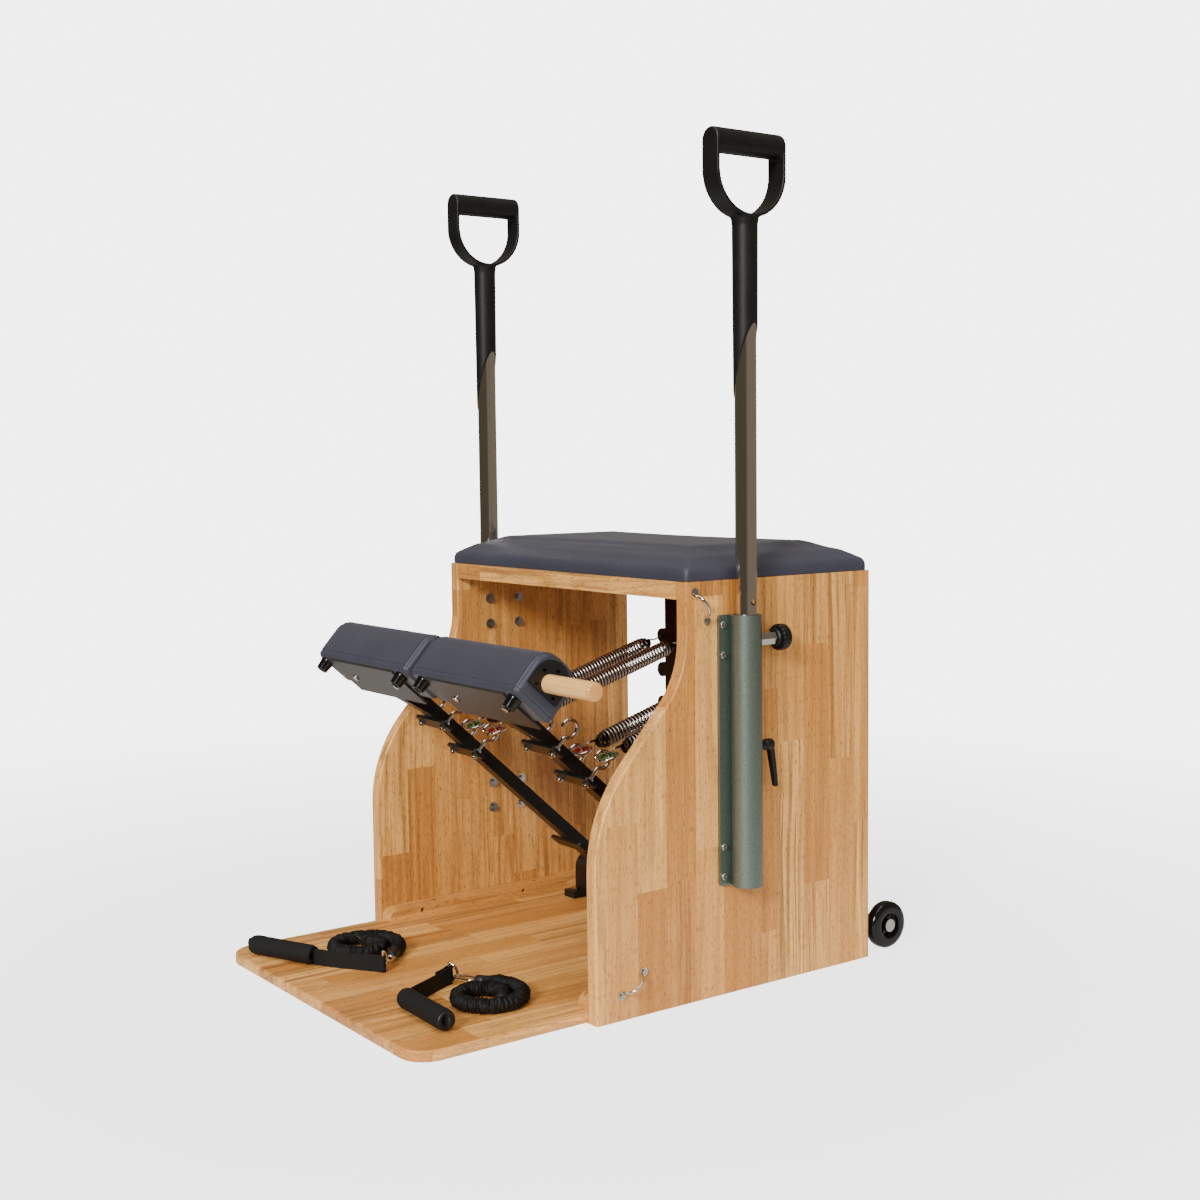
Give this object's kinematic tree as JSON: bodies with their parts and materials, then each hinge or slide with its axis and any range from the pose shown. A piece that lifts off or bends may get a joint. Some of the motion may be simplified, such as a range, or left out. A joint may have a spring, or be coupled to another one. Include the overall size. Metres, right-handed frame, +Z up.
{
  "type": "pilates chair",
  "caption": "Wooden box chair with an upholstered seat, sprung split pedal on a low axle, height-adjustable handle posts and transport wheels.",
  "frame": {"origin": "on the floor, under the middle of the base board", "axes": "+Z up, -Y towards the pedals and platform, +X towards the side with the dowel's free end"},
  "size_m": [0.761, 0.8755, 1.222],
  "materials": {
    "panel_wood": "satin lacquer on edge-glued staves",
    "vinyl": "matte grained vinyl",
    "hammertone": "hammertone paint",
    "chrome": "polished",
    "zinc": "zinc plated",
    "black_plastic": "fine grain",
    "black_steel": "satin powder coat",
    "plate_steel": "satin",
    "black_rubber": "matte",
    "dowel_wood": "lacquered",
    "spring_steel": "bright drawn wire",
    "red_plastic": "gloss",
    "green_plastic": "gloss",
    "foam": "closed-cell foam",
    "webbing": "woven nylon"
  },
  "bodies": {
    "frame": {"side_panel_left": "panel_wood", "side_panel_right": "panel_wood", "base_board": "panel_wood", "base_cleats": "panel_wood", "front_rail": "panel_wood", "rear_rail": "panel_wood", "seat_board": "panel_wood", "seat_cushion": "vinyl", "sleeve_left": "hammertone", "sleeve_right": "hammertone", "wire_eyes": "chrome", "bungee_d_rings": "chrome", "bungee_links": "chrome", "bungee_crimps": "chrome", "wood_screws": "zinc", "sleeve_bolts": "zinc", "sleeve_nuts": "zinc", "plunger_bodies": "zinc", "wheel_bolts": "zinc", "wheel_brackets": "zinc", "pedal_axle": "zinc", "post_bushes": "black_plastic", "axle_blocks": "black_steel", "spring_posts": "black_steel", "bungee_grips": "foam", "bungee_straps": "webbing", "bungee_cord_left": "webbing", "bungee_cord_right": "webbing"},
    "post_left": {"post_left": "chrome", "handle_left": "black_plastic"},
    "post_right": {"post_right": "chrome", "handle_right": "black_plastic"},
    "plunger_left": {"plunger_left": "black_plastic"},
    "plunger_right": {"plunger_right": "black_plastic"},
    "clamp_left": {"clamp_lever_left": "black_plastic"},
    "clamp_right": {"clamp_lever_right": "black_plastic"},
    "wheel_left": {"wheel_left": "black_plastic"},
    "wheel_right": {"wheel_right": "black_plastic"},
    "pedal_left": {"pedal_arm_left": "black_steel", "pedal_plate_left": "plate_steel", "pedal_pad_left": "vinyl", "pedal_bumpers_left": "black_rubber", "pedal_screws_left": "zinc", "hook_bolts_left": "chrome", "hook_nuts_left": "zinc"},
    "pedal_right": {"pedal_arm_right": "black_steel", "pedal_plate_right": "plate_steel", "pedal_pad_right": "vinyl", "pedal_bumpers_right": "black_rubber", "pedal_screws_right": "zinc", "hook_bolts_right": "chrome", "hook_nuts_right": "zinc", "dowel_collar": "black_plastic"},
    "dowel": {"dowel": "dowel_wood"},
    "springs_swivel": {"springs_left": "spring_steel", "springs_right": "spring_steel"},
    "springs_stretch": {"spring_rings": "chrome", "ring_inserts_red": "red_plastic", "ring_inserts_green": "green_plastic"}
  },
  "joints": [
    {"name": "post_left_height", "type": "slide", "parent": "frame", "child": "post_left", "axis": [0, 0, 1], "range_m": [-0.055, 0.11]},
    {"name": "plunger_left_pull", "type": "slide", "parent": "frame", "child": "plunger_left", "axis": [0, 1, 0], "range_m": [0, 0.008], "stiffness_N_per_m": 700, "springref_m": -0.006},
    {"name": "clamp_left_turn", "type": "hinge", "parent": "frame", "child": "clamp_left", "pos_m": [-0.338, 0.129, 0.361], "axis": [0, 1, 0], "range_deg": [0, 150]},
    {"name": "wheel_left_spin", "type": "hinge", "parent": "frame", "child": "wheel_left", "pos_m": [-0.306, 0.4425, 0.041], "axis": [1, 0, 0], "continuous": true},
    {"name": "post_right_height", "type": "slide", "parent": "frame", "child": "post_right", "axis": [0, 0, 1], "range_m": [-0.055, 0.11]},
    {"name": "plunger_right_pull", "type": "slide", "parent": "frame", "child": "plunger_right", "axis": [0, 1, 0], "range_m": [0, 0.008], "stiffness_N_per_m": 700, "springref_m": -0.006},
    {"name": "clamp_right_turn", "type": "hinge", "parent": "frame", "child": "clamp_right", "pos_m": [0.338, 0.129, 0.361], "axis": [0, -1, 0], "range_deg": [0, 150]},
    {"name": "wheel_right_spin", "type": "hinge", "parent": "frame", "child": "wheel_right", "pos_m": [0.306, 0.4425, 0.041], "axis": [1, 0, 0], "continuous": true},
    {"name": "pedal_right_press", "type": "hinge", "parent": "frame", "child": "pedal_right", "pos_m": [0, 0.2515, 0.062], "axis": [1, 0, 0], "range_deg": [0, 40.5], "stiffness_Nm_per_rad": 80, "springref_deg": -34.38},
    {"name": "pedal_left_press", "type": "hinge", "parent": "frame", "child": "pedal_left", "pos_m": [0, 0.2515, 0.062], "axis": [1, 0, 0], "range_deg": [0, 40.5]},
    {"name": "dowel_pull", "type": "slide", "parent": "pedal_right", "child": "dowel", "axis": [1, 0, 0], "range_m": [0, 0.3]},
    {"name": "springs_swing", "type": "hinge", "parent": "frame", "child": "springs_swivel", "pos_m": [0, 0.3905, 0.461], "axis": [1, 0, 0], "range_deg": [0, 18.5]},
    {"name": "springs_extend", "type": "slide", "parent": "springs_swivel", "child": "springs_stretch", "axis": [0, -0.9569, -0.2903], "range_m": [0, 0.215], "deforming": ["springs_left", "springs_right"]}
  ],
  "couplings": [
    {"joint": "pedal_left_press", "follows": "pedal_right_press", "ratio": 1},
    {"joint": "springs_swing", "follows": "pedal_right_press", "ratio": 0.441},
    {"joint": "springs_extend", "follows": "pedal_right_press", "m_per_rad": 0.298}
  ]
}
